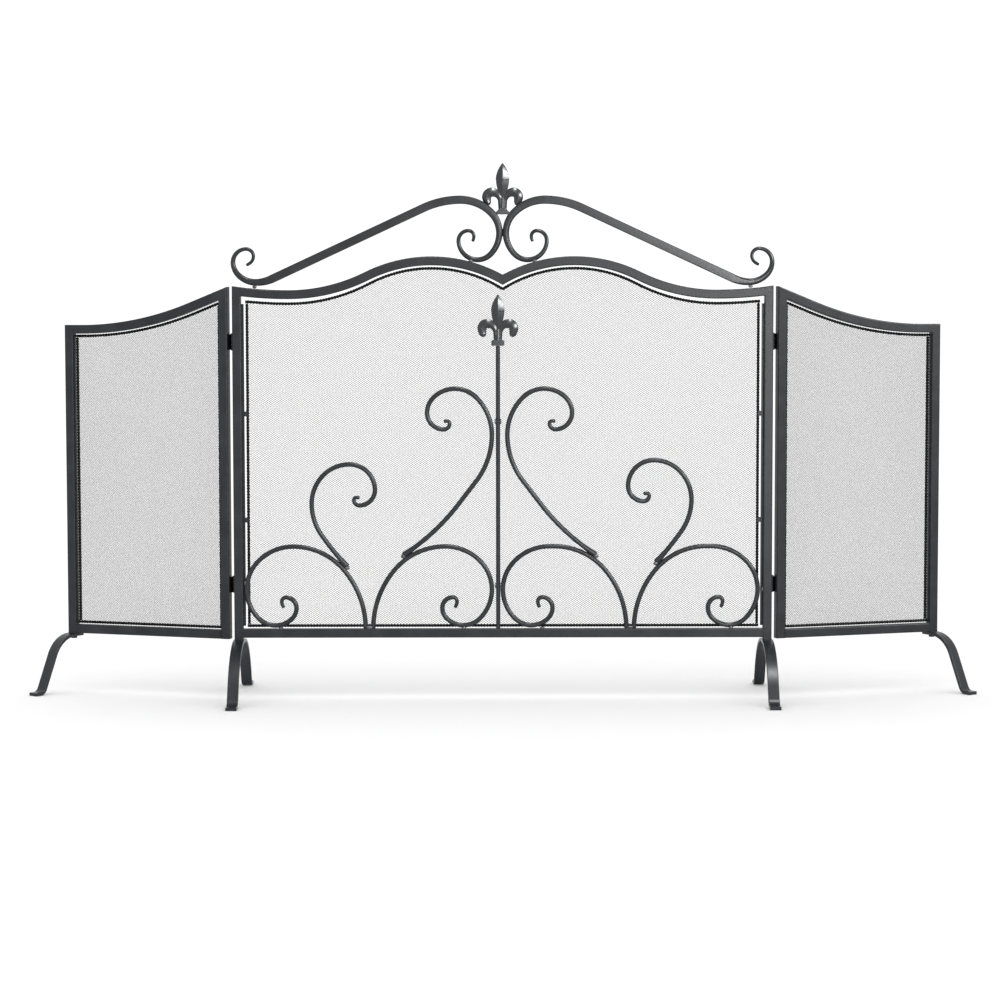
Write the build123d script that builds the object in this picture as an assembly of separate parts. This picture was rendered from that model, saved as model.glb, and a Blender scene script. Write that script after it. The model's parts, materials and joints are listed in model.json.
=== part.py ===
from build123d import *
import os
from math import asin, atan, cos, degrees, radians, sin, sqrt, tan

# Three-panel folding fireplace screen: a fixed centre panel with scrollwork and two
# narrow side panels that fold back on butt hinges.
# Millimetres. +X is right, +Y is back, +Z is up. The origin is on the floor, under
# the middle of the centre panel's frame.

# ---- driving dimensions -------------------------------------------------------
panel_width = 780.0         # centre frame, outside to outside
side_width = 259.0          # side frame, outside to outside
leg_height = 84.0           # underside of the centre posts above the floor
side_lift = 1.0             # the side posts end this much higher
tube = 13.0                 # square frame tube
tube_wall = 1.2
tube_corner = 1.5
rest_angle = 18.3           # how far each side panel is folded back at rest

# Top edge of the centre frame: it dips beside each post, rises to a hump and falls
# to a V in the middle.
corner_top = 596.5
dip_top = 590.5
dip_x = 309.0
hump_top = 638.8
hump_x = 103.0
vee_top = 612.5

# Top edge of a side frame: flat at the outer post, then it sweeps up to the inner one.
side_outer_top = 540.0
side_flat_run = 24.0
side_sweep_radius = 488.0
side_slope = 21.0           # degrees

# Wire mesh, and the border rods that stiffen its edges.
border_radius = 2.4
border_y = 3.5              # the mesh lies in the rear half of the frame's depth
border_gap = 5.6            # from the centre posts to their border rods
border_bottom_gap = 1.4
border_top_gap = 4.2
border_hump_lift = 2.4      # the top border rod comes this much closer to the rail at its humps
side_border_gap = 0.8
border_end_gap = 3.6        # the upright rods stop this far below the middle of the top ones
side_border_end_gap = 5.3
stop_width = 3.3            # flat strips on the posts that the mesh's border stands beside
stop_depth = 3.0
mesh_thickness = 0.6
bottom_rail_lift = 3.0      # centre bottom rail above the ends of its posts
clip_heights = (258.0, 412.0)
clip_length = 7.0
clip_depth = 6.0

# Scrollwork in the centre panel: two groups, each a pair of big circles that spring
# from one V foot and a branch on each circle.
bar_radius = 3.25
bar_y = -3.2                # the bars lie in the front half of the frame's depth
left_group_x = -194.0
right_group_x = 184.6
right_group_stretch = 7.0   # the right group is bent this much wider
right_branch_shift = (5.4, 5.6)
foot_spread = 5.5
rod_x = -7.0
rod_radius = 3.1
crest_depth = 12.0          # the crest's bars are as deep as they are wide
crest_slope = 24.9          # degrees
crest_middle = (-225.0, 657.4)
crest_half_run = 120.0

# Cast fleur-de-lis finials.
finial_depth = 10.0
lower_finial_z = 510.0
crest_finial_z = 698.5

# Flat-bar legs.
strap_width = 16.0
strap_thickness = 4.8
strap_corner = 1.0
# Half leg from its bolt out: level run, bend radius, turn, flare radius and level toe.
centre_leg = (8.0, 110.0, 58.0, 18.0, 12.0)
outer_leg = (5.0, 45.0, 65.0, 12.0, 8.0)
outer_leg_twist = 17.0      # the side legs splay outward from square to their panel
outer_leg_tail = 12.0

# Fasteners and hinges.
bolt_radius = 2.4
bolt_hole_radius = 2.6
bolt_length = 14.0
head_radius = 4.6
head_height = 3.2
plug_height = 12.0
plug_clearance = 0.1
hinge_heights = (164.0, 516.0)
hinge_height = 22.5
hinge_gap = 3.0             # between the posts when the panels are in line
leaf_thickness = 1.2
leaf_front_y = -4.0
knuckle_radius = 2.5
knuckle_clearance = 0.3
pin_radius = 1.25
pin_clearance = 0.05
pin_head_radius = 2.1
pin_head_height = 0.8

half_width = panel_width / 2
half_tube = tube / 2
opening_half = half_width - tube
post_x = half_width - half_tube
rail_top = leg_height + bottom_rail_lift + tube
side_bottom = leg_height + side_lift
side_inner_x = half_width + hinge_gap
side_outer_x = side_inner_x + side_width
pivot_x = half_width + hinge_gap / 2
pivot_y = half_tube + knuckle_radius + knuckle_clearance

parts = {}


# ---- outlines made of straight runs and tangent arcs ---------------------------
def step(x, z, heading, turn, size):
    """Follow a straight run (turn 0) or an arc of radius size; angles in radians."""
    if turn == 0:
        return x + size * cos(heading), z + size * sin(heading), heading
    side = 1 if turn > 0 else -1
    end = heading + turn
    return (x + side * size * (sin(end) - sin(heading)),
            z - side * size * (cos(end) - cos(heading)),
            end)


def stations(start, heading, moves):
    """Start, middle and end of each (turn in degrees, size) move from a start point."""
    x, z = start
    angle = radians(heading)
    found = []
    for turn, size in moves:
        middle = step(x, z, angle, radians(turn) / 2, size if turn else size / 2)
        end = step(x, z, angle, radians(turn), size)
        found.append(((x, z, angle), middle, end))
        x, z, angle = end
    return found


def joined(points, straight):
    """One edge in the XZ plane through three points."""
    ends = [(x, 0, z) for x, z in points]
    return Line(ends[0], ends[2]) if straight else ThreePointArc(*ends)


def walk(start, heading, moves):
    """Edges that follow the moves."""
    return [joined([station[:2] for station in group], turn == 0)
            for (turn, size), group in zip(moves, stations(start, heading, moves))]


def along(edges, section):
    """Sweep a section along edges in the XZ plane, its X axis across the depth."""
    path = Wire(edges)
    return sweep(Plane(origin=path @ 0, x_dir=(0, 1, 0), z_dir=path % 0) * section, path=path)


def tapered_bar(start, heading, moves, widths, depth):
    """Flat-faced bar that follows the moves and narrows from each width to the next."""
    left, right = [], []
    for (turn, size), group, w0, w1 in zip(moves, stations(start, heading, moves), widths, widths[1:]):
        halves = (w0 / 2, (w0 + w1) / 4, w1 / 2)
        for edges, side in ((left, 1), (right, -1)):
            offset = [(x - side * half * sin(a), z + side * half * cos(a))
                      for (x, z, a), half in zip(group, halves)]
            edges.append(joined(offset, turn == 0))
    caps = [Line(left[0] @ 0, right[0] @ 0), Line(left[-1] @ 1, right[-1] @ 1)]
    return extrude(make_face(left + right + caps), depth / 2, both=True)


def flip(part):
    """Mirror a part to the other side of the screen."""
    return mirror(part, about=Plane.YZ)


def box(x, y, z):
    """Box from its (low, high) limits along each axis."""
    centre = [(low + high) / 2 for low, high in (x, y, z)]
    return Pos(*centre) * Box(x[1] - x[0], y[1] - y[0], z[1] - z[0])


# ---- frame tubes ----------------------------------------------------------------
def tube_section():
    inside = tube - 2 * tube_wall
    return RectangleRounded(tube, tube, tube_corner) - RectangleRounded(inside, inside, tube_corner / 3)


def post(x, bottom, top):
    return Pos(x, 0, bottom) * extrude(tube_section(), top - bottom)


def level_rail(x0, x1, z):
    return along([Line((x0, 0, z), (x1, 0, z))], tube_section())


def mitre(part, corner_x, corner_z, inward, fall, keep_rail):
    """Cut a post or rail on the plane that halves the frame's corner.

    inward is the X direction of the rail from its corner, and fall is how steeply the
    rail runs down from it, in degrees."""
    down_x = inward * cos(radians(fall))
    down_z = -1 - sin(radians(fall))
    toward_rail = (-inward * down_z, 0, inward * down_x)
    plane = Plane(origin=(corner_x, 0, corner_z), x_dir=(0, 1, 0), z_dir=toward_rail)
    return split(part, bisect_by=plane, keep=Keep.TOP if keep_rail else Keep.BOTTOM)


# Circles of the centre frame's top edge, from its heights.
corner_drop = corner_top - dip_top
corner_radius = ((half_width - dip_x) ** 2 + corner_drop ** 2) / (2 * corner_drop)
corner_fall = degrees(asin((half_width - dip_x) / corner_radius))
vee_drop = hump_top - vee_top
hump_radius = (hump_x ** 2 + vee_drop ** 2) / (2 * vee_drop)


def centre_top_curve(inset, start_x, end_x=0.0, lift=0.0):
    """Left half of the curve that lies inset below the centre frame's top edge.

    lift brings its hump and V that much nearer to the edge."""
    rise_turn = 2 * degrees(atan((hump_top + lift - dip_top) / (dip_x - hump_x)))
    dip_radius = (dip_x - hump_x) / sin(radians(rise_turn)) - hump_radius
    outer = corner_radius + inset
    fall = asin((start_x - dip_x) / outer)
    start = (-start_x, dip_top + corner_radius - outer * cos(fall))
    over = degrees(asin((hump_x + end_x) / (hump_radius - inset)))
    moves = [(degrees(fall), outer), (rise_turn, dip_radius + inset), (-rise_turn - over, hump_radius - inset)]
    return walk(start, -degrees(fall), moves)


def side_top_curve(inset, outer_x, inner_x):
    """Curve that lies inset below a side frame's top edge, from its outer end inward."""
    flat = outer_x - side_outer_x + side_flat_run
    radius = side_sweep_radius + inset
    slope = radians(side_slope)
    straight = (outer_x - flat - radius * sin(slope) - inner_x) / cos(slope)
    moves = [(0, flat), (-side_slope, radius), (0, straight)]
    return walk((outer_x, side_outer_top - inset), 180, moves)


def side_top_height(x):
    """Height of a side frame's top edge at x."""
    from_flat = side_outer_x - side_flat_run - x
    sweep_run = side_sweep_radius * sin(radians(side_slope))
    if from_flat <= 0:
        return side_outer_top
    if from_flat <= sweep_run:
        return side_outer_top + side_sweep_radius - sqrt(side_sweep_radius ** 2 - from_flat ** 2)
    sweep_rise = side_sweep_radius * (1 - cos(radians(side_slope)))
    return side_outer_top + sweep_rise + (from_flat - sweep_run) * tan(radians(side_slope))


# ---- centre frame ---------------------------------------------------------------
left_post = mitre(post(-post_x, leg_height, corner_top), -half_width, corner_top, 1, corner_fall, False)
parts["left_post"] = left_post
parts["right_post"] = flip(left_post)
parts["bottom_rail"] = level_rail(-opening_half, opening_half, rail_top - half_tube)

top_rail = along(centre_top_curve(half_tube, half_width + tube, tube), tube_section())
top_rail = mitre(top_rail, -half_width, corner_top, 1, corner_fall, True)
top_rail = split(top_rail, bisect_by=Plane.YZ, keep=Keep.BOTTOM)
parts["top_rail_left"] = top_rail
parts["top_rail_right"] = flip(top_rail)


# ---- wire mesh and its border rods ----------------------------------------------
def rod(edges, y, radius=border_radius):
    return Pos(0, y, 0) * along(edges, Circle(radius))


def mesh_sheet(edges, bottom):
    """Thin sheet below a top curve, down to a level bottom edge."""
    first, last = edges[0] @ 0, edges[-1] @ 1
    first_foot, last_foot = (first.X, 0, bottom), (last.X, 0, bottom)
    sides = [Line(last, last_foot), Line(last_foot, first_foot), Line(first_foot, first)]
    return Pos(0, border_y, 0) * extrude(make_face(edges + sides), mesh_thickness / 2, both=True)


border_x = opening_half - border_gap - border_radius
border_z = rail_top + border_bottom_gap + border_radius
mesh_inset = tube + border_top_gap + 2 * border_radius
sheet_curve = centre_top_curve(mesh_inset, border_x - border_radius, lift=border_hump_lift)
half_sheet = mesh_sheet(sheet_curve, border_z + border_radius)
parts["centre_mesh"] = half_sheet + flip(half_sheet)

parts["centre_mesh_rod_bottom"] = rod(
    [Line((-border_x - border_radius, 0, border_z), (border_x + border_radius, 0, border_z))], border_y)
border_curve = centre_top_curve(mesh_inset - border_radius, border_x + border_radius, tube, border_hump_lift)
rod_top = split(rod(border_curve, border_y), bisect_by=Plane.YZ, keep=Keep.BOTTOM)
parts["centre_mesh_rod_top_left"] = rod_top
parts["centre_mesh_rod_top_right"] = flip(rod_top)
border_top = (border_curve[0] @ 0).Z - border_end_gap
rod_left = rod([Line((-border_x, 0, border_z + border_radius), (-border_x, 0, border_top))], border_y)
parts["centre_mesh_rod_left"] = rod_left
parts["centre_mesh_rod_right"] = flip(rod_left)

stop = box((-opening_half, -opening_half + stop_width), (border_y - stop_depth / 2, border_y + stop_depth / 2),
           (border_z, border_top))
parts["mesh_stop_left"] = stop
parts["mesh_stop_right"] = flip(stop)


def mesh_clips():
    """Tabs from the stops that grip the border rods."""
    clips = []
    for height in clip_heights:
        tab = box((-opening_half + stop_width, -border_x), (border_y - clip_depth / 2, border_y + clip_depth / 2),
                  (height - clip_length / 2, height + clip_length / 2))
        tab -= Pos(-border_x, border_y, height) * Cylinder(border_radius, clip_length)
        clips += [tab, flip(tab)]
    return clips


parts["mesh_clips"] = Compound(children=mesh_clips())


# ---- scrollwork -----------------------------------------------------------------
# Each bar is a chain of (turn in degrees, radius) arcs and (0, length) straight runs.
circle_rise = [(-40, 133), (-50, 96)]
circle_curl = [(-45, 71), (-90, 59.5), (-90, 34), (-45, 22), (-90, 15.3), (-90, 6), (-27, 14), (0, 3)]
tall_branch = [(19.5, 323), (0, 42), (37.5, 110), (45, 76), (90, 44), (45, 31), (90, 24), (90, 8.6), (90, 3.5),
               (0, 5)]
short_branch = [(8, 420), (35, 80), (45, 59), (45, 53), (90, 37), (90, 22.6), (90, 8), (90, 3.5), (0, 5)]
tall_start, tall_heading = (49.5, 207.1), 33
short_start, short_heading = (31.6, 190.4), 47


def scroll(group_x, opens, start, heading, moves):
    """Round bar bent into a scroll in front of the mesh; opens is +1 or -1 along X."""
    bar = Pos(0, bar_y, 0) * along(walk(start, heading, moves), Circle(bar_radius))
    return Pos(group_x, 0, 0) * (bar if opens > 0 else flip(bar))


def circle_scroll(group_x, opens, middle):
    return scroll(group_x, opens, (foot_spread, rail_top), 90, circle_rise + middle + circle_curl)


stretch = [(0, right_group_stretch)]
parts["scroll_circle_outer_left"] = circle_scroll(left_group_x, -1, [])
parts["scroll_circle_inner_left"] = circle_scroll(left_group_x, 1, [])
parts["scroll_circle_inner_right"] = circle_scroll(right_group_x, -1, stretch)
parts["scroll_circle_outer_right"] = circle_scroll(right_group_x, 1, stretch)

parts["scroll_tall_left"] = scroll(left_group_x, 1, tall_start, tall_heading, tall_branch)
parts["scroll_tall_right"] = scroll(right_group_x, -1, tall_start, tall_heading, tall_branch)
right_start = (short_start[0] + right_branch_shift[0], short_start[1] + right_branch_shift[1])
parts["scroll_short_left"] = scroll(left_group_x, -1, short_start, short_heading, short_branch)
parts["scroll_short_right"] = scroll(right_group_x, 1, right_start, short_heading, short_branch)

parts["scroll_rod"] = rod([Line((rod_x, 0, rail_top), (rod_x, 0, lower_finial_z))], bar_y, rod_radius)


# ---- crest: two long scrolls on the top rail, meeting under a finial --------------
crest_inner_curl = [(-crest_slope, 127), (-45, 62), (-45, 41), (-45, 44), (-45, 26), (-90, 27.5), (-90, 14.2),
                    (-90, 8), (-20, 14), (0, 3)]
crest_inner_widths = [crest_depth, crest_depth, crest_depth, 11, 9.5, 8.5, 7.5, 6, 5.5, 5, 4.7, 4.5]
crest_outer_curl = [(-crest_slope, 55.5), (-45, 36), (-45, 26), (-90, 19), (-90, 10.5), (-60, 12), (0, 5)]
crest_outer_widths = [crest_depth, crest_depth, 10, 8.5, 7, 5.5, 5, 4.7, 4.5]


def crest_scroll():
    run = [(0, crest_half_run)]
    inner = tapered_bar(crest_middle, crest_slope, run + crest_inner_curl, crest_inner_widths, crest_depth)
    outer = tapered_bar(crest_middle, crest_slope + 180, run + crest_outer_curl, crest_outer_widths, crest_depth)
    bar = inner + outer
    return Pos(-bar.bounding_box().max.X, 0, 0) * bar


crest_left = crest_scroll()
parts["crest_scroll_left"] = crest_left
parts["crest_scroll_right"] = flip(crest_left)


def finial():
    """Fleur-de-lis standing on z = 0: a pointed leaf, two drooping wings, a stem and a foot."""
    leaf = [ThreePointArc((0, 0, 30), (9.6, 0, 50), (0, 0, 74)),
            ThreePointArc((0, 0, 74), (-9.6, 0, 50), (0, 0, 30))]
    wing = [ThreePointArc((0, 0, 34), (16, 0, 40.3), (29.3, 0, 28)),
            ThreePointArc((29.3, 0, 28), (28.5, 0, 20), (23, 0, 13.5)),
            Line((23, 0, 13.5), (17, 0, 14)),
            ThreePointArc((17, 0, 14), (15.5, 0, 24), (6, 0, 21)),
            Line((6, 0, 21), (0, 0, 21)),
            Line((0, 0, 21), (0, 0, 34))]
    stem = [Line((0, 0, 0), (10.4, 0, 0)), Line((10.4, 0, 0), (10.4, 0, 3)), Line((10.4, 0, 3), (5.4, 0, 9)),
            Line((5.4, 0, 9), (6.4, 0, 24)), Line((6.4, 0, 24), (0, 0, 24)), Line((0, 0, 24), (0, 0, 0))]
    half_wing = extrude(make_face(wing), 0.4 * finial_depth, both=True)
    half_stem = extrude(make_face(stem), 0.4 * finial_depth, both=True)
    return (extrude(make_face(leaf), finial_depth / 2, both=True)
            + half_wing + flip(half_wing) + half_stem + flip(half_stem))


parts["lower_finial"] = Pos(rod_x, bar_y, lower_finial_z) * finial()
parts["crest_finial"] = Pos(0, 0, crest_finial_z) * finial() - crest_left - flip(crest_left)


# ---- legs -----------------------------------------------------------------------
def leg_moves(top, run, bend, turn, flare, toe):
    """Half leg from its bolt out to its toe: level, bent down, straight, flared, level."""
    drop = top - strap_thickness
    angle = radians(turn)
    straight = (drop - (bend + flare) * (1 - cos(angle))) / sin(angle)
    return [(0, run), (-turn, bend), (0, straight), (turn, flare), (0, toe)]


def strap(top, moves):
    """Bent flat bar whose path starts at x = 0 under a post's end."""
    section = RectangleRounded(strap_width, strap_thickness, strap_corner)
    return along(walk((0, top - strap_thickness / 2), 0, moves), section)


def bolt_hole(top):
    return Pos(0, 0, top - strap_thickness / 2) * Cylinder(bolt_hole_radius, 2 * strap_thickness)


def bolt(top):
    """Hexagon bolt put up through the strap into the post's plug."""
    under = top - strap_thickness
    shank = Pos(0, 0, under) * extrude(Circle(bolt_radius), bolt_length)
    head = Pos(0, 0, under - head_height) * extrude(RegularPolygon(head_radius, 6), head_height)
    return shank + head


def plug(bottom):
    """Threaded insert in a post's end."""
    side = tube - 2 * tube_wall - 2 * plug_clearance
    insert = extrude(RectangleRounded(side, side, tube_corner / 2) - Circle(bolt_hole_radius), plug_height)
    return Pos(0, 0, bottom) * insert


half_arch = strap(leg_height, leg_moves(leg_height, *centre_leg))
arch = Rot(0, 0, 90) * (half_arch + flip(half_arch) - bolt_hole(leg_height))
parts["left_leg_arch"] = Pos(-post_x, 0, 0) * arch
parts["right_leg_arch"] = Pos(post_x, 0, 0) * arch
parts["leg_bolts"] = Compound(children=[Pos(x, 0, 0) * bolt(leg_height) for x in (-post_x, post_x)])
parts["post_plugs"] = Compound(children=[Pos(x, 0, 0) * plug(leg_height) for x in (-post_x, post_x)])


# ---- side panels: the right one is built in line with the centre, then folded -----
def side_frame():
    """Nodes of the right side panel, standing in line with the centre frame."""
    inner_edge = side_inner_x + tube
    outer_edge = side_outer_x - tube
    outer_post_x = side_outer_x - half_tube
    inner_top = side_top_height(side_inner_x)
    top = along(side_top_curve(half_tube, side_outer_x + tube, side_inner_x - tube), tube_section())
    top = mitre(top, side_inner_x, inner_top, 1, side_slope, True)
    top = mitre(top, side_outer_x, side_outer_top, -1, 0, True)
    panel = {
        "inner_post": mitre(post(side_inner_x + half_tube, side_bottom, inner_top),
                            side_inner_x, inner_top, 1, side_slope, False),
        "outer_post": mitre(post(outer_post_x, side_bottom, side_outer_top),
                            side_outer_x, side_outer_top, -1, 0, False),
        "top_rail": top,
        "bottom_rail": level_rail(inner_edge, outer_edge, side_bottom + half_tube),
    }

    offset = side_border_gap + border_radius
    rod_z = side_bottom + tube + offset
    rod_low, rod_high = inner_edge + offset, outer_edge - offset
    border_curve = side_top_curve(tube + offset, rod_high + border_radius, rod_low - border_radius)
    panel["mesh_rod_top"] = rod(border_curve, border_y)
    panel["mesh_rod_bottom"] = rod(
        [Line((rod_low - border_radius, 0, rod_z), (rod_high + border_radius, 0, rod_z))], border_y)
    for name, x in (("mesh_rod_inner", rod_low), ("mesh_rod_outer", rod_high)):
        top_z = side_top_height(x) - tube - offset - side_border_end_gap
        panel[name] = rod([Line((x, 0, rod_z + border_radius), (x, 0, top_z))], border_y)
    curve = side_top_curve(tube + offset + border_radius, rod_high - border_radius, rod_low + border_radius)
    panel["mesh"] = mesh_sheet(curve, rod_z + border_radius)

    leg = strap(side_bottom, [(0, outer_leg_tail)] + leg_moves(side_bottom, *outer_leg))
    leg = Pos(-outer_leg_tail, 0, 0) * leg - bolt_hole(side_bottom)
    foot = Pos(outer_post_x, 0, 0) * Rot(0, 0, outer_leg_twist - 90)
    panel["leg"] = foot * leg
    panel["leg_bolt"] = foot * bolt(side_bottom)
    panel["post_plug"] = foot * Rot(0, 0, 90 - outer_leg_twist) * plug(side_bottom)
    return panel


# ---- butt hinges ----------------------------------------------------------------
def knuckle_barrel(z, height):
    barrel = Circle(knuckle_radius) - Circle(pin_radius + pin_clearance)
    return Pos(pivot_x, pivot_y, z - height / 2) * extrude(barrel, height)


def hinge_leaf(z, leaf_x, knuckles):
    """Leaf against a post, from leaf_x[0] to leaf_x[1], rolled round the pin at some knuckles."""
    low, high = z - hinge_height / 2, z + hinge_height / 2
    leaf = box(leaf_x, (leaf_front_y, pivot_y - knuckle_radius - knuckle_clearance), (low, high))
    pitch = (hinge_height + knuckle_clearance) / 3
    for index in knuckles:
        middle = low + (index + 0.5) * pitch - knuckle_clearance / 2
        height = pitch - knuckle_clearance
        neck = box(leaf_x, (0, pivot_y), (middle - height / 2, middle + height / 2))
        bore = Pos(pivot_x, pivot_y, middle) * Cylinder(pin_radius + pin_clearance, height)
        leaf += neck - bore
        leaf += knuckle_barrel(middle, height)
    return leaf


def hinge_pin(z):
    length = hinge_height + 2 * knuckle_clearance
    pin = Pos(pivot_x, pivot_y, z) * Cylinder(pin_radius, length)
    for end in (-1, 1):
        centre = z + end * (length + pin_head_height) / 2
        pin += Pos(pivot_x, pivot_y, centre) * Cylinder(pin_head_radius, pin_head_height)
    return pin


fixed_leaf_x = (half_width, half_width + leaf_thickness)
moving_leaf_x = (side_inner_x - leaf_thickness, side_inner_x)
fixed_leaves = [hinge_leaf(z, fixed_leaf_x, (0, 2)) for z in hinge_heights]
pins = [hinge_pin(z) for z in hinge_heights]
parts["hinge_fixed_leaves"] = Compound(children=fixed_leaves + [flip(leaf) for leaf in fixed_leaves])
parts["hinge_pins"] = Compound(children=pins + [flip(pin) for pin in pins])

panel = side_frame()
panel["hinge_leaves"] = Compound(children=[hinge_leaf(z, moving_leaf_x, (1,)) for z in hinge_heights])
fold = Pos(pivot_x, pivot_y, 0) * Rot(0, 0, rest_angle) * Pos(-pivot_x, -pivot_y, 0)
for name, part in panel.items():
    folded = fold * part
    parts["right_panel_" + name] = folded
    parts["left_panel_" + name] = flip(folded)

os.makedirs("parts", exist_ok=True)
for name, part in parts.items():
    export_step(part, f"parts/{name}.step")
print(len(parts), "nodes")
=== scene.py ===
import json
from bisect import bisect
from math import ceil, cos, pi, radians, sin

import bmesh
import bpy
from mathutils import Matrix, Vector, noise


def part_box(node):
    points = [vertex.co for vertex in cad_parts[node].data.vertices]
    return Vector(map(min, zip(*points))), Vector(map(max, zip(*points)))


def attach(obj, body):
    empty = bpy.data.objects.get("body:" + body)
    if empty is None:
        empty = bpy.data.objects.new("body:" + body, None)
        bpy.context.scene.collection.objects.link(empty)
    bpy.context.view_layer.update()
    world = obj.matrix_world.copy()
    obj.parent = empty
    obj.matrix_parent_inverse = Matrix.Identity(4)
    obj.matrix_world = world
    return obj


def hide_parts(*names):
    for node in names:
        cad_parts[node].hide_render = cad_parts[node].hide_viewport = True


# The fireplace screen's look. Lengths are in millimetres and become metres in place().
MM = 0.001

# ---- sizes shared with the CAD model -------------------------------------------
BAR_Y = -3.2                 # middle of the scroll bars
BORDER_RADIUS = 2.4
LEFT_GROUP_X = -194.0
RIGHT_GROUP_X = 184.6
RIGHT_STRETCH = 7.0
FOOT_SPREAD = 5.5
CREST_DEPTH = 12.0
CREST_SLOPE = 24.9
CREST_MIDDLE = (-225.0, 657.4)
CREST_HALF_RUN = 120.0

# ---- sizes of the visual detail -------------------------------------------------
BAR_RADIUS = 3.45            # of the scroll bars, a little more than in the CAD model
CENTRE_CELL = (4.5, 3.05)    # width and height of one diamond of the centre's wire mesh
SIDE_CELL = (2.75, 2.45)     # the side panels have a closer mesh
CENTRE_WIRE = 0.202          # radius
SIDE_WIRE = 0.23
WIRE_STEP = 2.0              # how finely a wire is cut to the sheet's outline
EDGE_RISE = 1.0              # a sheet's vertices this far above its foot are its top edge
HEM_TWIST = 4.2              # length of one turn of the hem wire round its rod
HEM_STEP = 0.7
HEM_SIDES = 8
HEM_RIB = 0.13               # how proud its ribs stand, as a share of the rod's radius
TIP_TAPER = 30.0             # a scroll thins over this much of its free end
TIP_SHARE = 0.74             # to this share of its radius
TAIL_LENGTH = 24.0           # a branch is hammered wider over this much of its welded end
TAIL_WIDENING = 0.3          # how much wider, and how much thinner, as shares
TAIL_THINNING = 0.15
BAR_SWELL = 0.025            # hand-forged unevenness of the bars, as a share of their radius
BAR_SWELL_LENGTH = 19.0
BAR_SEED_STEP = 3.0          # keeps the two bars of a pair from being uneven alike
BAR_SIDES = 14
CORNER_POINTS = 4            # points on each rounded corner of a square bar
END_ROUNDING = 0.7           # the ring at a bar's end shrinks to this share of its size
FINIAL_VOXEL = 0.36

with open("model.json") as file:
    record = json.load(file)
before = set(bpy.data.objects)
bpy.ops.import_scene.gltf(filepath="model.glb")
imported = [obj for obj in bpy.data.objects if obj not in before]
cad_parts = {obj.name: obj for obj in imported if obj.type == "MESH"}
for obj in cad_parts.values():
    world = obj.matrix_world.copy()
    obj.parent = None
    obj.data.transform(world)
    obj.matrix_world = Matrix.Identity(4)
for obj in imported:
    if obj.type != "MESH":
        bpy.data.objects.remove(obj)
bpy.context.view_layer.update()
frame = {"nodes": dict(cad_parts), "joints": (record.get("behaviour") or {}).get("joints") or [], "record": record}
nodes = frame["nodes"]


# ---- places: panel coordinates in millimetres to the row's frame in metres --------
def fold_matrix():
    """Turns the right side panel, drawn in line with the centre, to where it rests."""
    hinge = next(joint for joint in frame["joints"] if joint["name"] == "right_hinge")
    pivot = Matrix.Translation(Vector(hinge["pos_m"]))
    return pivot @ Matrix.Rotation(radians(-hinge["range_deg"][0]), 4, "Z") @ pivot.inverted()


MIRROR = Matrix.Scale(-1, 4, (1, 0, 0))
PLACES = {
    "centre_panel": Matrix.Identity(4),
    "right_panel": fold_matrix(),
    "left_panel": MIRROR @ fold_matrix(),
}


def place(body, x, y, z):
    return PLACES[body] @ Vector((x * MM, y * MM, z * MM))


def make_piece(name, mesh, body, material, stands_for=()):
    """One visible piece from a finished bmesh, in the row's frame."""
    bmesh.ops.recalc_face_normals(mesh, faces=mesh.faces)
    data = bpy.data.meshes.new(name)
    mesh.to_mesh(data)
    mesh.free()
    data.shade_smooth()
    piece = bpy.data.objects.new(name, data)
    bpy.context.scene.collection.objects.link(piece)
    data.materials.append(material)
    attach(piece, body)
    if stands_for:
        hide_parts(*stands_for)
    return piece


# ---- procedural materials ---------------------------------------------------------
CLOUD_SCALE = 38             # colour clouds per metre
CLOUD_DETAIL, FINE_DETAIL = 5, 3
CLOUD_EDGES = (0.35, 0.68)   # where the clouds turn from dark to light
GLOSS_RANGE = (-0.08, 0.1)   # how far the roughness strays
RELIEF_DEPTH = 0.3 * MM


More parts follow.
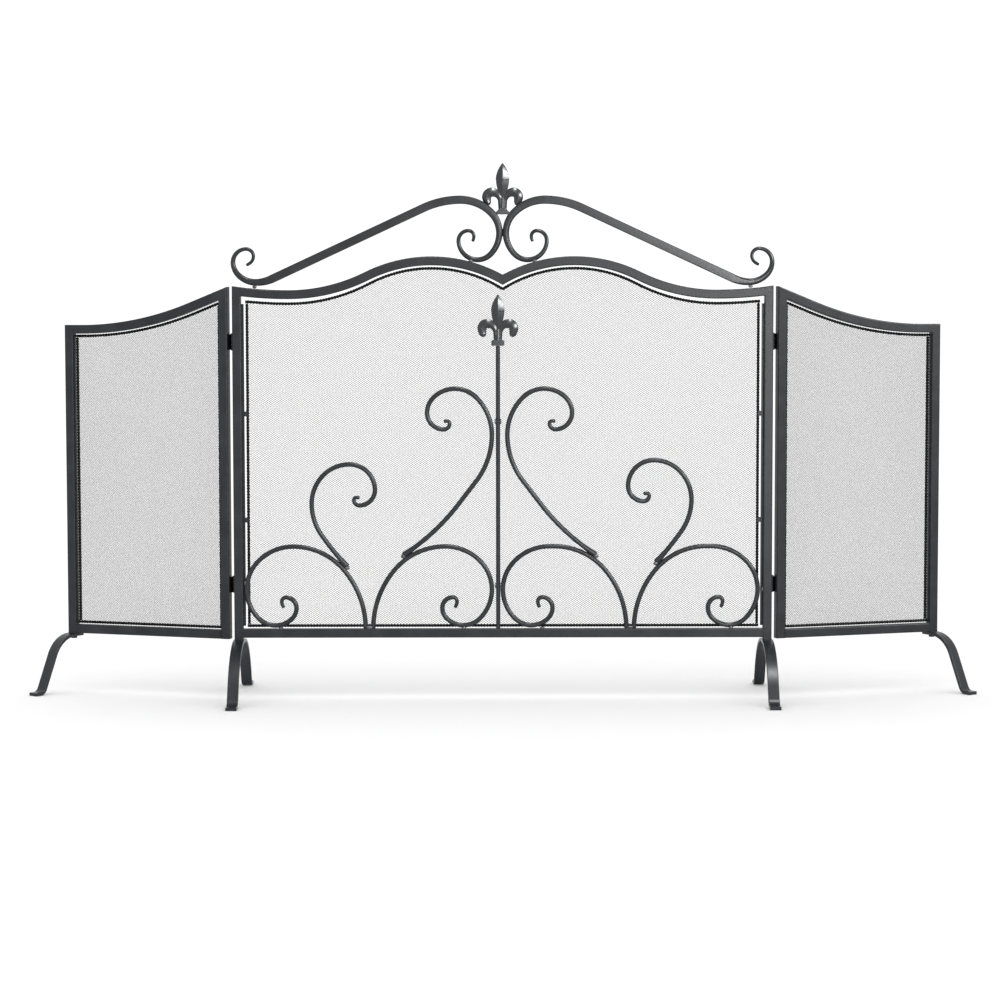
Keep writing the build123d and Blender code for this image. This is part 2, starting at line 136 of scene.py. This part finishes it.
def metal(name, dark, light, roughness, grain, bump=0.25, stretch=(1, 1, 1), metallic=0.0,
          specular=0.5):
    """Painted or bare metal: cloudy colour, uneven gloss and a fine surface texture.

    grain is the texture's size in millimetres."""
    material = bpy.data.materials.new(name)
    material.use_nodes = True
    tree = material.node_tree
    shader = tree.nodes["Principled BSDF"]
    shader.inputs["Metallic"].default_value = metallic
    shader.inputs["Specular IOR Level"].default_value = specular
    where = tree.nodes.new("ShaderNodeTexCoord")
    scale = tree.nodes.new("ShaderNodeMapping")
    scale.inputs["Scale"].default_value = stretch
    tree.links.new(where.outputs["Object"], scale.inputs["Vector"])

    clouds = tree.nodes.new("ShaderNodeTexNoise")
    clouds.inputs["Scale"].default_value = CLOUD_SCALE
    clouds.inputs["Detail"].default_value = CLOUD_DETAIL
    fine = tree.nodes.new("ShaderNodeTexNoise")
    fine.inputs["Scale"].default_value = 1 / (grain * MM)
    fine.inputs["Detail"].default_value = FINE_DETAIL
    for texture in (clouds, fine):
        tree.links.new(scale.outputs["Vector"], texture.inputs["Vector"])

    tint = tree.nodes.new("ShaderNodeValToRGB")
    for element, edge, colour in zip(tint.color_ramp.elements, CLOUD_EDGES, (dark, light)):
        element.position = edge
        element.color = (*colour, 1)
    tree.links.new(clouds.outputs["Fac"], tint.inputs["Fac"])
    tree.links.new(tint.outputs["Color"], shader.inputs["Base Color"])

    gloss = tree.nodes.new("ShaderNodeMapRange")
    gloss.inputs["To Min"].default_value = roughness + GLOSS_RANGE[0]
    gloss.inputs["To Max"].default_value = roughness + GLOSS_RANGE[1]
    tree.links.new(fine.outputs["Fac"], gloss.inputs["Value"])
    tree.links.new(gloss.outputs["Result"], shader.inputs["Roughness"])

    relief = tree.nodes.new("ShaderNodeBump")
    relief.inputs["Strength"].default_value = bump
    relief.inputs["Distance"].default_value = RELIEF_DEPTH
    tree.links.new(fine.outputs["Fac"], relief.inputs["Height"])
    tree.links.new(relief.outputs["Normal"], shader.inputs["Normal"])
    return material


FRAME_PAINT = metal("frame_paint", (0.011, 0.014, 0.017), (0.022, 0.026, 0.031),
                    roughness=0.33, grain=2.2, specular=0.28)
SCROLL_PAINT = metal("scroll_paint", (0.010, 0.013, 0.016), (0.022, 0.026, 0.031),
                     roughness=0.27, grain=3.0, bump=0.18, specular=0.34)
LEG_PAINT = metal("leg_paint", (0.008, 0.010, 0.013), (0.026, 0.031, 0.037),
                  roughness=0.3, grain=1.2, stretch=(1, 0.15, 0.15), specular=0.32)
CAST = metal("cast_iron", (0.006, 0.008, 0.010), (0.015, 0.018, 0.022),
             roughness=0.27, grain=4.0, bump=0.1, specular=0.6)
WIRE = metal("wire", (0.045, 0.045, 0.047), (0.07, 0.07, 0.072), roughness=0.45, grain=0.8)
HEM = metal("hem_wire", (0.003, 0.0035, 0.004), (0.008, 0.009, 0.010),
            roughness=0.5, grain=0.8, specular=0.12)
BLACK = metal("fastener_black", (0.003, 0.003, 0.004), (0.007, 0.007, 0.008),
              roughness=0.4, grain=0.8, specular=0.2)
BARE = metal("bare_steel", (0.3, 0.3, 0.31), (0.42, 0.42, 0.43),
             roughness=0.35, grain=0.6, metallic=1.0)
WELD = metal("weld", (0.015, 0.018, 0.022), (0.10, 0.11, 0.125),
             roughness=0.22, grain=0.9, bump=0.8, specular=0.8)

SLOT_MATERIALS = {
    "frame_paint": FRAME_PAINT,
    "leg_paint": LEG_PAINT,
    "cast_iron": CAST,
    "wire_mesh": WIRE,
    "dark_fastener": BLACK,
    "bare_steel": BARE,
}
for part in frame["record"]["subparts"]:
    carried = nodes[part["node"]].data
    carried.materials.clear()
    carried.materials.append(SLOT_MATERIALS[part["material_slot"]])


# ---- bars that follow straight runs and tangent arcs --------------------------------
def trace(start, heading, moves, spacing=1.5):
    """Stations (x, z, heading, move number + share of it) along a list of moves.

    A move is (turn in degrees, radius) or, when it is straight, (0, length)."""
    x, z = start
    angle = radians(heading)
    found = [(x, z, angle, 0.0)]
    for number, (turn, size) in enumerate(moves):
        length = radians(abs(turn)) * size if turn else size
        count = max(3, ceil(length / spacing))
        bend = radians(turn) / count
        chord = 2 * size * sin(abs(bend) / 2) if turn else size / count
        for index in range(1, count + 1):
            x += chord * cos(angle + bend / 2)
            z += chord * sin(angle + bend / 2)
            angle += bend
            found.append((x, z, angle, number + index / count))
    return found


def distances(path):
    """Distance from the start to each station."""
    found = [0.0]
    for a, b in zip(path, path[1:]):
        found.append(found[-1] + ((b[0] - a[0]) ** 2 + (b[1] - a[1]) ** 2) ** 0.5)
    return found


def between(values, place_in_list):
    """Value at a fractional place in a list."""
    low = min(int(place_in_list), len(values) - 2)
    share = place_in_list - low
    return values[low] * (1 - share) + values[low + 1] * share


def rounded_ring(half_side, half_depth, corner):
    """Outline of a rectangle with round corners; equal sides with a full corner make a circle."""
    corner = min(corner, half_side, half_depth)
    ring = []
    for quarter in range(4):
        side = half_side - corner if quarter in (0, 3) else corner - half_side
        depth = half_depth - corner if quarter in (0, 1) else corner - half_depth
        for index in range(CORNER_POINTS):
            angle = (quarter + index / (CORNER_POINTS - 1)) * pi / 2
            ring.append((side + corner * cos(angle), depth + corner * sin(angle)))
    return ring


def oval_ring(half_side, half_depth, power=2.0, count=24):
    """Oval outline; a power near 1 makes it a lozenge with ridges."""
    ring = []
    for index in range(count):
        angle = 2 * pi * index / count
        c, s = cos(angle), sin(angle)
        reach = (abs(c) ** power + abs(s) ** power) ** (-1 / power)
        ring.append((half_side * reach * c, half_depth * reach * s))
    return ring


def bridge(mesh, a, b):
    """Faces between two rings of vertices."""
    for index in range(len(a)):
        after = (index + 1) % len(a)
        mesh.faces.new((a[index], a[after], b[after], b[index]))


def loft(mesh, body, path, rings, y=0.0, across=1):
    """Skin over one ring at each station; across -1 mirrors it about x = 0."""
    rows = []
    for (x, z, angle, _), ring in zip(path, rings):
        rows.append([
            mesh.verts.new(place(body, across * (x - side * sin(angle)), y + depth,
                                 z + side * cos(angle)))
            for side, depth in ring
        ])
    for a, b in zip(rows, rows[1:]):
        bridge(mesh, a, b)
    mesh.faces.new(rows[0])
    mesh.faces.new(rows[-1])


def shifted(path, x):
    return [(px + x, z, angle, share) for px, z, angle, share in path]


# ---- scrollwork -----------------------------------------------------------------
RAIL_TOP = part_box("bottom_rail")[1].z / MM
CIRCLE_RISE = [(-40, 133), (-50, 96)]
CIRCLE_CURL = [(-45, 71), (-90, 59.5), (-90, 34), (-45, 22), (-90, 15.3), (-90, 6), (-27, 14),
               (0, 3)]
TALL = [(19.5, 323), (0, 42), (37.5, 110), (45, 76), (90, 44), (45, 31), (90, 24), (90, 8.6),
        (90, 3.5), (0, 5)]
SHORT = [(8, 420), (35, 80), (45, 59), (45, 53), (90, 37), (90, 22.6), (90, 8), (90, 3.5), (0, 5)]
TALL_START, TALL_HEADING = (49.5, 207.1), 33
SHORT_START, SHORT_HEADING = (31.6, 190.4), 47
RIGHT_SHORT_START = (37.0, 196.0)


def scroll(name, group_x, opens, start, heading, moves, hammered_tail=False):
    """Round bar, drawn thin at its free end.

    A branch's other end is hammered flat where it is welded on."""
    path = trace(start, heading, moves)
    along = distances(path)
    total = along[-1]
    rings = []
    for number, distance in enumerate(along):
        thin = min(1.0, (total - distance) / TIP_TAPER)
        radius = BAR_RADIUS * (TIP_SHARE + (1 - TIP_SHARE) * thin)
        noise_place = Vector((distance / BAR_SWELL_LENGTH, opens * BAR_SEED_STEP, group_x))
        radius *= 1 + BAR_SWELL * noise.noise(noise_place)
        side = depth = radius
        if hammered_tail:
            flat = max(0.0, 1 - distance / TAIL_LENGTH)
            side *= 1 + TAIL_WIDENING * flat
            depth *= 1 - TAIL_THINNING * flat
        if number in (0, len(along) - 1):
            side *= END_ROUNDING
            depth *= END_ROUNDING
        rings.append(oval_ring(side, depth, count=BAR_SIDES))
    mesh = bmesh.new()
    loft(mesh, "centre_panel", shifted(path, opens * group_x), rings, y=BAR_Y, across=opens)
    make_piece(name + "_bar", mesh, "centre_panel", SCROLL_PAINT, [name])


FOOT = (FOOT_SPREAD, RAIL_TOP)
MIDDLE = [(0, RIGHT_STRETCH)]   # the right circles are this much longer than the left ones
scroll("scroll_circle_outer_left", LEFT_GROUP_X, -1, FOOT, 90, CIRCLE_RISE + CIRCLE_CURL)
scroll("scroll_circle_inner_left", LEFT_GROUP_X, 1, FOOT, 90, CIRCLE_RISE + CIRCLE_CURL)
scroll("scroll_circle_inner_right", RIGHT_GROUP_X, -1, FOOT, 90, CIRCLE_RISE + MIDDLE + CIRCLE_CURL)
scroll("scroll_circle_outer_right", RIGHT_GROUP_X, 1, FOOT, 90, CIRCLE_RISE + MIDDLE + CIRCLE_CURL)
scroll("scroll_tall_left", LEFT_GROUP_X, 1, TALL_START, TALL_HEADING, TALL, hammered_tail=True)
scroll("scroll_tall_right", RIGHT_GROUP_X, -1, TALL_START, TALL_HEADING, TALL, hammered_tail=True)
scroll("scroll_short_left", LEFT_GROUP_X, -1, SHORT_START, SHORT_HEADING, SHORT, hammered_tail=True)
scroll("scroll_short_right", RIGHT_GROUP_X, 1, RIGHT_SHORT_START, SHORT_HEADING, SHORT,
       hammered_tail=True)


# ---- crest scrolls: square bar that is forged round where it curls -------------------
INNER_CURL = [(-CREST_SLOPE, 127), (-45, 62), (-45, 41), (-45, 44), (-45, 26), (-90, 27.5),
              (-90, 14.2), (-90, 8), (-20, 14), (0, 3)]
INNER_WIDTHS = [CREST_DEPTH] * 3 + [11, 9.5, 8.5, 7.5, 6, 5.5, 5, 4.7, 4.5]
OUTER_CURL = [(-CREST_SLOPE, 55.5), (-45, 36), (-45, 26), (-90, 19), (-90, 10.5), (-60, 12), (0, 5)]
OUTER_WIDTHS = [CREST_DEPTH] * 2 + [10, 8.5, 7, 5.5, 5, 4.7, 4.5]
CREST_EDGE = 1.1             # radius of the square bar's edges
CREST_ROUNDING = 5.0         # the bar is fully round once it is this much narrower
CREST_ROUNDING_POWER = 0.7


def crest_rings(path, widths):
    rings = []
    for *_, share in path:
        width = between(widths, share)
        round_share = min(1.0, max(0.0, (CREST_DEPTH - width) / CREST_ROUNDING))
        corner = CREST_EDGE + (width / 2 - CREST_EDGE) * round_share ** CREST_ROUNDING_POWER
        rings.append(rounded_ring(width / 2, width / 2, corner))
    rings[-1] = [(END_ROUNDING * side, END_ROUNDING * depth) for side, depth in rings[-1]]
    return rings


def crest_scroll(side_name, across):
    run = [(0, CREST_HALF_RUN)]
    inner = trace(CREST_MIDDLE, CREST_SLOPE, run + INNER_CURL)
    outer = trace(CREST_MIDDLE, CREST_SLOPE + 180, run + OUTER_CURL)
    outer_rings = crest_rings(outer, OUTER_WIDTHS)
    path = [(x, z, angle - pi, share) for x, z, angle, share in reversed(outer)][:-1] + inner
    rings = outer_rings[::-1][:-1] + crest_rings(inner, INNER_WIDTHS)
    reach = max(x - side * sin(angle)
                for (x, _, angle, _), ring in zip(path, rings) for side, _ in ring)
    mesh = bmesh.new()
    loft(mesh, "centre_panel", shifted(path, -reach), rings, across=across)
    name = "crest_scroll_" + side_name
    piece = make_piece(name + "_bar", mesh, "centre_panel", SCROLL_PAINT, [name])
    piece.modifiers.new("even_faces", "WEIGHTED_NORMAL")


crest_scroll("left", 1)
crest_scroll("right", -1)


# ---- cast finials -----------------------------------------------------------------
LEAF_BASE, LEAF_WIDEST, LEAF_TIP = 24.0, 50.0, 74.0
LEAF_HALF_WIDTH, LEAF_HALF_DEPTH = 9.6, 5.0
LEAF_BASE_HALF_WIDTH = 3.0
LEAF_TIP_HALF_WIDTH = 0.3
LEAF_STEPS = 40
LEAF_RIDGE = 1.02            # power of its outline: near 1 for a sharp ridge
LEAF_DEPTH_POWER = 0.8       # how slowly it gets thinner as it gets narrower
WING_START, WING_HEADING = (2.6, 7), 88
WING_MOVES = [(0, 13), (-88, 12.5), (-90, 7.3), (-25, 20), (0, 3.4)]
WING_HALF_WIDTHS = [3.4, 3.8, 6.9, 6.9, 5.2, 2.2]
WING_HALF_WIDTH = max(WING_HALF_WIDTHS)
WING_HALF_DEPTH = 4.0
WING_SPACING = 0.6
WING_RIDGE = 1.15
WING_DEPTH_POWER = 0.45
STEM = [(4, 5.2, 3.6), (14, 4.7, 3.4), (24, 4.2, 3.0)]  # height, half width, half depth
FINIAL_FOOT_HALF_DEPTH, FINIAL_FOOT_EDGE = 4.6, 1.6
SOFTENING = 0.5


def leaf_half_width(z):
    if z < LEAF_WIDEST:
        share = sin(pi / 2 * (z - LEAF_BASE) / (LEAF_WIDEST - LEAF_BASE))
        return LEAF_BASE_HALF_WIDTH + (LEAF_HALF_WIDTH - LEAF_BASE_HALF_WIDTH) * share
    share = (z - LEAF_WIDEST) / (LEAF_TIP - LEAF_WIDEST)
    return LEAF_HALF_WIDTH * (1 - share ** 2) + LEAF_TIP_HALF_WIDTH


def upright(heights):
    """Stations straight up, for turned and leaf-like shapes."""
    return [(0.0, z, pi / 2, 0.0) for z in heights]


def finial(name, x, y, z, foot):
    """Fleur-de-lis cast in one: a ridged leaf between two drooping wings, a stem and a foot."""
    mesh = bmesh.new()
    length = LEAF_TIP - LEAF_BASE
    leaf = upright([LEAF_BASE + step * length / LEAF_STEPS for step in range(LEAF_STEPS + 1)])
    rings = []
    for _, height, _, _ in leaf:
        width = leaf_half_width(height)
        depth = LEAF_HALF_DEPTH * (width / LEAF_HALF_WIDTH) ** LEAF_DEPTH_POWER
        rings.append(oval_ring(width, depth, LEAF_RIDGE))
    shapes = [(leaf, rings, 1)]
    wing = trace(WING_START, WING_HEADING, WING_MOVES, spacing=WING_SPACING)
    rings = []
    for *_, share in wing:
        width = between(WING_HALF_WIDTHS, share)
        depth = WING_HALF_DEPTH * (width / WING_HALF_WIDTH) ** WING_DEPTH_POWER
        rings.append(oval_ring(width, depth, WING_RIDGE))
    shapes += [(wing, rings, 1), (wing, rings, -1)]
    stem_rings = [oval_ring(*half_sizes) for _, *half_sizes in STEM]
    shapes.append((upright([height for height, *_ in STEM]), stem_rings, 1))
    foot_rings = [rounded_ring(half, FINIAL_FOOT_HALF_DEPTH, FINIAL_FOOT_EDGE) for _, half in foot]
    shapes.append((upright([height for height, _ in foot]), foot_rings, 1))
    for path, rings, across in shapes:
        loft(mesh, "centre_panel", path, rings, across=across)
    bmesh.ops.translate(mesh, verts=mesh.verts, vec=(x * MM, y * MM, z * MM))
    piece = make_piece(name + "_casting", mesh, "centre_panel", CAST, [name])
    fuse = piece.modifiers.new("fuse", "REMESH")
    fuse.mode = "VOXEL"
    fuse.voxel_size = FINIAL_VOXEL * MM
    fuse.use_smooth_shade = True
    soften = piece.modifiers.new("soften", "SMOOTH")
    soften.factor = SOFTENING
    soften.iterations = 1


# the feet, as (height, half width)
COLLAR = [(0.3, 8.4), (1.4, 9.5), (4.2, 9.2), (7.0, 9.5), (8.2, 8.4)]
FLARE = [(0.2, 9.9), (1.0, 10.3), (3.0, 10.2), (5.2, 8.0), (7.4, 6.2), (9.5, 5.4)]
for finial_name, finial_foot in (("lower_finial", COLLAR), ("crest_finial", FLARE)):
    low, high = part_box(finial_name)
    middle = (low + high) / 2 / MM
    finial(finial_name, middle.x, middle.y, low.z / MM, finial_foot)


# ---- diamond mesh of slanting wires, and its hem ---------------------------------------
def top_edge(node, body):
    """The CAD sheet's top edge as (x, z) points from left to right, its foot and its middle y."""
    to_panel = PLACES[body].inverted()
    flat = [to_panel @ vertex.co / MM for vertex in nodes[node].data.vertices]
    foot = min(v.z for v in flat)
    edge = {round(v.x, 2): v.z for v in flat if v.z > foot + EDGE_RISE}
    return sorted(edge.items()), foot, sum(v.y for v in flat) / len(flat)


def height_at(edge, x):
    """Height of the top edge at x."""
    spot = min(max(bisect(edge, (x,)), 1), len(edge) - 1)
    (x0, z0), (x1, z1) = edge[spot - 1], edge[spot]
    return z0 + (z1 - z0) * (x - x0) / (x1 - x0)


def wire(mesh, body, start, end, radius):
    """Straight four-sided wire between two panel points."""
    run = Vector((end[0] - start[0], end[2] - start[2])).normalized()
    offsets = ((radius, 0), (0, radius), (-radius, 0), (0, -radius))
    rows = []
    for x, y, z in (start, end):
        rows.append([
            mesh.verts.new(place(body, x - side * run.y, y + depth, z + side * run.x))
            for side, depth in offsets
        ])
    bridge(mesh, *rows)
    mesh.faces.new(rows[0])
    mesh.faces.new(rows[1])


def runs_inside(edge, foot, start, direction, length):
    """The stretches (from, to) of a slanting line that lie inside the sheet."""
    found, began = [], None
    for index in range(int(length / WIRE_STEP) + 1):
        reach = index * WIRE_STEP
        x, z = start[0] + direction.x * reach, start[1] + direction.y * reach
        inside = edge[0][0] <= x <= edge[-1][0] and foot <= z <= height_at(edge, x)
        if inside and began is None:
            began = reach
        elif began is not None and not inside:
            found.append((began - WIRE_STEP / 2, reach - WIRE_STEP / 2))
            began = None
    return found


def wire_mesh(node, body, cell, radius):
    """Diamond mesh: two layers of slanting wires, cut to the CAD sheet's outline."""
    edge, foot, y = top_edge(node, body)
    left, right = edge[0][0], edge[-1][0]
    height = max(z for _, z in edge) - foot
    mesh = bmesh.new()
    for lean in (1, -1):
        direction = Vector((lean * cell[0], cell[1])).normalized()
        drift = height * cell[0] / cell[1]
        first = left - drift if lean > 0 else left
        length = height / direction.y
        for index in range(int((right - left + drift) / cell[0])):
            start = (first + (index + 0.5) * cell[0], foot)
            for run in runs_inside(edge, foot, start, direction, length + WIRE_STEP):
                ends = [(start[0] + direction.x * reach, y + lean * radius,
                         start[1] + direction.y * reach) for reach in run]
                wire(mesh, body, *ends, radius)
    make_piece(node + "_wires", mesh, body, WIRE, [node])


def polyline(points, step):
    """Stations every step along a polyline."""
    path = []
    for (x0, z0), (x1, z1) in zip(points, points[1:]):
        run = Vector((x1 - x0, z1 - z0))
        count = max(1, round(run.length / step))
        angle = -Vector((1, 0)).angle_signed(run)
        for index in range(count):
            path.append((x0 + run.x * index / count, z0 + run.y * index / count, angle, 0.0))
    path.append((*points[-1], path[-1][2], 0.0))
    return path


def hem(name, body, points, y, stands_for):
    """Border rod wrapped in a twist of wire."""
    path = polyline(points, HEM_STEP)
    rings = []
    for distance in distances(path):
        ring = []
        for index in range(HEM_SIDES):
            angle = 2 * pi * index / HEM_SIDES
            rib = 1 - HEM_RIB + HEM_RIB * cos(2 * angle - 2 * pi * distance / HEM_TWIST)
            ring.append((BORDER_RADIUS * rib * cos(angle), BORDER_RADIUS * rib * sin(angle)))
        rings.append(ring)
    mesh = bmesh.new()
    loft(mesh, body, path, rings, y=y)
    make_piece(name + "_twist", mesh, body, HEM, stands_for)


def hems(node, body, top_nodes, side_nodes):
    """The four border rods round one sheet of mesh."""
    prefix = node + "_"
    edge, foot, y = top_edge(node, body)
    (left, left_top), (right, right_top) = edge[0], edge[-1]
    low = foot - BORDER_RADIUS
    over = [(x, z + BORDER_RADIUS) for x, z in edge]
    first = (left - 2 * BORDER_RADIUS, over[0][1])
    last = (right + 2 * BORDER_RADIUS, over[-1][1])
    hem(prefix + "rod_top", body, [first] + over + [last], y, top_nodes)
    hem(prefix + "rod_bottom", body, [(first[0], low), (last[0], low)], y, [prefix + "rod_bottom"])
    uprights = ((left - BORDER_RADIUS, left_top), (right + BORDER_RADIUS, right_top))
    for side_node, (x, top) in zip(side_nodes, uprights):
        hem(side_node, body, [(x, foot), (x, top)], y, [side_node])


wire_mesh("centre_mesh", "centre_panel", CENTRE_CELL, CENTRE_WIRE)
hems("centre_mesh", "centre_panel",
     ["centre_mesh_rod_top_left", "centre_mesh_rod_top_right"],
     ["centre_mesh_rod_left", "centre_mesh_rod_right"])
for panel in ("left_panel", "right_panel"):
    wire_mesh(panel + "_mesh", panel, SIDE_CELL, SIDE_WIRE)
    hems(panel + "_mesh", panel, [panel + "_mesh_rod_top"],
         [panel + "_mesh_rod_inner", panel + "_mesh_rod_outer"])


# ---- weld beads -------------------------------------------------------------------
BEAD_LUMPS = 0.22            # how uneven a bead is, as a share of its size
BEAD_LUMP_SCALE = 1.7
BEAD_SEED_STEP = 5.3


def beads(name, body, spots):
    """Rough weld beads at (x, y, z, half width, half height) spots."""
    mesh = bmesh.new()
    for number, (x, y, z, width, height) in enumerate(spots):
        made = bmesh.ops.create_icosphere(mesh, subdivisions=3, radius=1.0)["verts"]
        seed = Vector((number * BEAD_SEED_STEP, 0, 0))
        for vertex in made:
            lump = 1 + BEAD_LUMPS * noise.noise(vertex.co * BEAD_LUMP_SCALE + seed)
            p = vertex.co * lump
            vertex.co = place(body, x + p.x * width, y + p.y * min(width, height),
                              z + p.z * height)
    make_piece(name, mesh, body, WELD)


TUBE_FRONT_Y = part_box("bottom_rail")[0].y / MM
ROD_MIDDLE = (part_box("scroll_rod")[0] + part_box("scroll_rod")[1]) / 2 / MM
CREST_OUTER_FOOT = (-357.0, 595.2)
CREST_INNER_FOOT = (-46.0, 632.0)
VEE_Z = 612.5
BEAD_FRONT_Y = TUBE_FRONT_Y + 1.6
CREST_BEAD_Y = -3.4
CREST_TOUCH_Z = 673.0        # where the two crest scrolls meet
RIGHT_CORNER_X, LEFT_CORNER_X, CORNER_Z = 383.0, -384.0, 590.0
POST_EDGE_X = 377.0          # inner edges of the centre posts
CIRCLE_FEET_X = (-322, -57, 57, 331)
POST_TOUCHES = ((-374, 167), (376, 157))    # where the outer circles meet the posts
ROD_TOUCHES_Z = (163, 401)                  # where scrolls meet the middle rod
ROD_BEAD_OFFSET = 3.6

crest_spots = []
for mirror_x in (1, -1):
    for x, z in (CREST_OUTER_FOOT, CREST_INNER_FOOT):
        crest_spots.append((mirror_x * x, CREST_BEAD_Y, z, 3.2, 2.2))
crest_spots += [(0, 0, CREST_TOUCH_Z, 1.5, 5.0), (0, BEAD_FRONT_Y, VEE_Z - 7, 1.4, 7.0)]
crest_spots += [(RIGHT_CORNER_X, BEAD_FRONT_Y, CORNER_Z, 2.0, 3.4),
                (LEFT_CORNER_X, BEAD_FRONT_Y, CORNER_Z, 1.2, 2.6)]
crest_spots += [(side * POST_EDGE_X, BEAD_FRONT_Y, RAIL_TOP - drop, 1.3, 1.8)
                for side in (-1, 1) for drop in (3.5, 9.5)]
beads("crest_welds", "centre_panel", crest_spots)

scroll_spots = [(x, BAR_Y - 2.2, RAIL_TOP + 1.2, 3.4, 2.0) for x in CIRCLE_FEET_X]
scroll_spots += [(group_x, BAR_Y - 1.2, RAIL_TOP + 2.0, 5.0, 2.4)
                 for group_x in (LEFT_GROUP_X, RIGHT_GROUP_X)]
scroll_spots += [(x, BAR_Y - 1.0, z, 1.8, 3.2) for x, z in POST_TOUCHES]
scroll_spots += [(ROD_MIDDLE.x + side * ROD_BEAD_OFFSET, BAR_Y - 1.6, z, 1.4, 4.2)
                 for side in (-1, 1) for z in ROD_TOUCHES_Z]
for group_x, opens, (x, z) in (
    (LEFT_GROUP_X, 1, TALL_START), (RIGHT_GROUP_X, -1, TALL_START),
    (LEFT_GROUP_X, -1, SHORT_START), (RIGHT_GROUP_X, 1, RIGHT_SHORT_START),
):
    scroll_spots.append((group_x + opens * x, BAR_Y - 0.8, z - 1.5, 3.6, 3.0))
beads("scroll_welds", "centre_panel", scroll_spots)


# ---- studio, in metres ----------------------------------------------------------------
FLOOR_RADIUS = 400.0         # so large that its edge meets the sky
FLOOR_SIDES = 96
FLOOR_WHITE = 0.995
FLOOR_ROUGHNESS = 0.9
SKY_STRENGTH = 1.1
CAMERA_PLACE = (-0.0075, -4.1, 0.595)
CAMERA_PITCH, CAMERA_YAW, CAMERA_ROLL = 0.075, -0.0008, -0.0013     # radians
CAMERA_LENS = 102.16         # millimetres
CAMERA_REACH = 900           # beyond the floor's edge


def studio():
    floor_mesh = bmesh.new()
    bmesh.ops.create_circle(floor_mesh, cap_ends=True, segments=FLOOR_SIDES, radius=FLOOR_RADIUS)
    data = bpy.data.meshes.new("floor")
    floor_mesh.to_mesh(data)
    floor_mesh.free()
    floor = bpy.data.objects.new("floor", data)
    bpy.context.scene.collection.objects.link(floor)
    pale = bpy.data.materials.new("floor_paper")
    pale.use_nodes = True
    shader = pale.node_tree.nodes["Principled BSDF"]
    shader.inputs["Base Color"].default_value = (FLOOR_WHITE, FLOOR_WHITE, FLOOR_WHITE, 1)
    shader.inputs["Roughness"].default_value = FLOOR_ROUGHNESS
    shader.inputs["Specular IOR Level"].default_value = 0.0
    data.materials.append(pale)

    world = bpy.data.worlds.new("studio")
    world.use_nodes = True
    sky = world.node_tree.nodes["Background"]
    sky.inputs["Color"].default_value = (1, 1, 1, 1)
    sky.inputs["Strength"].default_value = SKY_STRENGTH
    bpy.context.scene.world = world


def softbox(name, location, target, size, power):
    """Area light that shows only in gloss. The sky gives all other light, so the floor is even."""
    light = bpy.data.lights.new(name, "AREA")
    light.shape = "RECTANGLE"
    light.size, light.size_y = size
    light.energy = power
    lamp = bpy.data.objects.new(name, light)
    bpy.context.scene.collection.objects.link(lamp)
    lamp.location = location
    lamp.rotation_euler = (Vector(target) - Vector(location)).to_track_quat("-Z", "Y").to_euler()
    lamp.visible_camera = False
    lamp.visible_diffuse = False


def camera():
    data = bpy.data.cameras.new("camera")
    data.lens = CAMERA_LENS
    data.clip_end = CAMERA_REACH
    eye = bpy.data.objects.new("camera", data)
    bpy.context.scene.collection.objects.link(eye)
    turn = Matrix.Rotation(CAMERA_YAW, 4, "Z") @ Matrix.Rotation(pi / 2 - CAMERA_PITCH, 4, "X")
    roll = Matrix.Rotation(CAMERA_ROLL, 4, "Z")
    eye.matrix_world = Matrix.Translation(CAMERA_PLACE) @ turn @ roll
    bpy.context.scene.camera = eye


studio()
softbox("key", location=(2.83, -1.77, 1.65), target=(0, 0, 0.5), size=(0.45, 1.1), power=105)
softbox("side", location=(0.92, -3.9, 0.8), target=(0.35, 0, 0.4), size=(0.3, 1.0), power=50)
softbox("top", location=(0.5, -1.0, 3.4), target=(0, 0, 0.5), size=(0.7, 0.7), power=70)
camera()
bpy.context.scene.view_settings.view_transform = "Standard"
